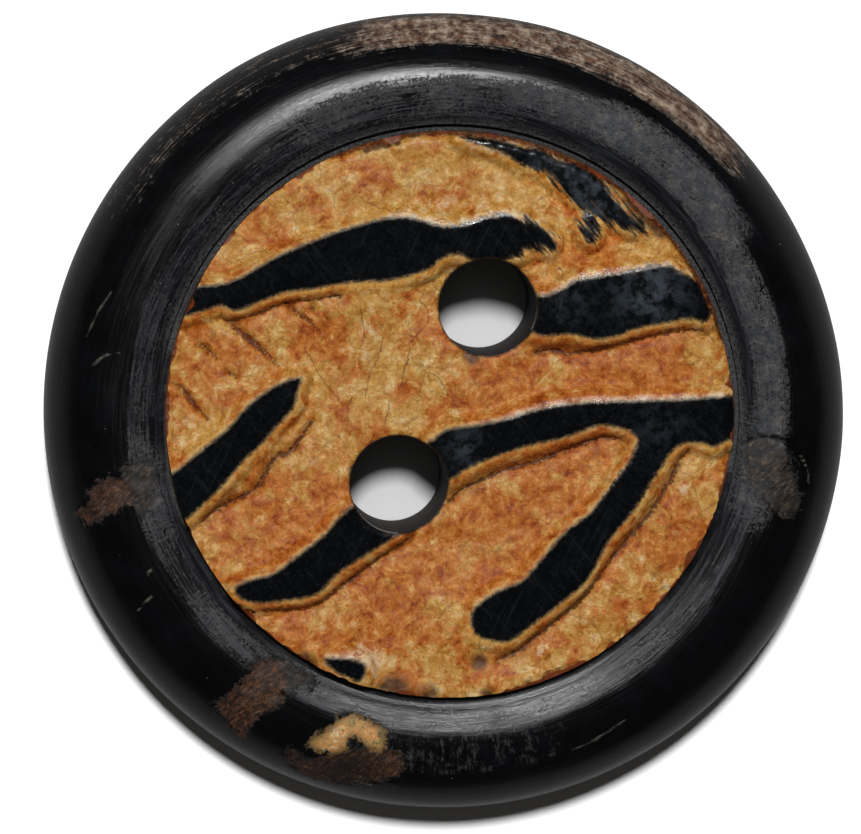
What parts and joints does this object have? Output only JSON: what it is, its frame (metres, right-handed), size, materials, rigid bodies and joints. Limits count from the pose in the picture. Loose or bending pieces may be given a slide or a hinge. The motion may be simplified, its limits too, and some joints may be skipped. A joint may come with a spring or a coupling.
{
  "type": "horn button",
  "caption": "Round sew-through button turned from natural horn: polished black rim round a raised disc that keeps the horn's tan bark and its black ridges.",
  "frame": {"origin": "centre of the flat back face, on the axis of the turned rim", "axes": "+Z out of the front face, away from the cloth; +Y towards the side of the thread hole that lies further from the axis; +X to the right of that, seen from the front"},
  "size_m": [0.034, 0.034, 0.0058],
  "materials": {
    "horn": "dark natural horn, polished on the rim, with tan bark skin and matt black ridge tops on the disc"
  },
  "bodies": {
    "root": {"button": "horn"}
  },
  "joints": []
}
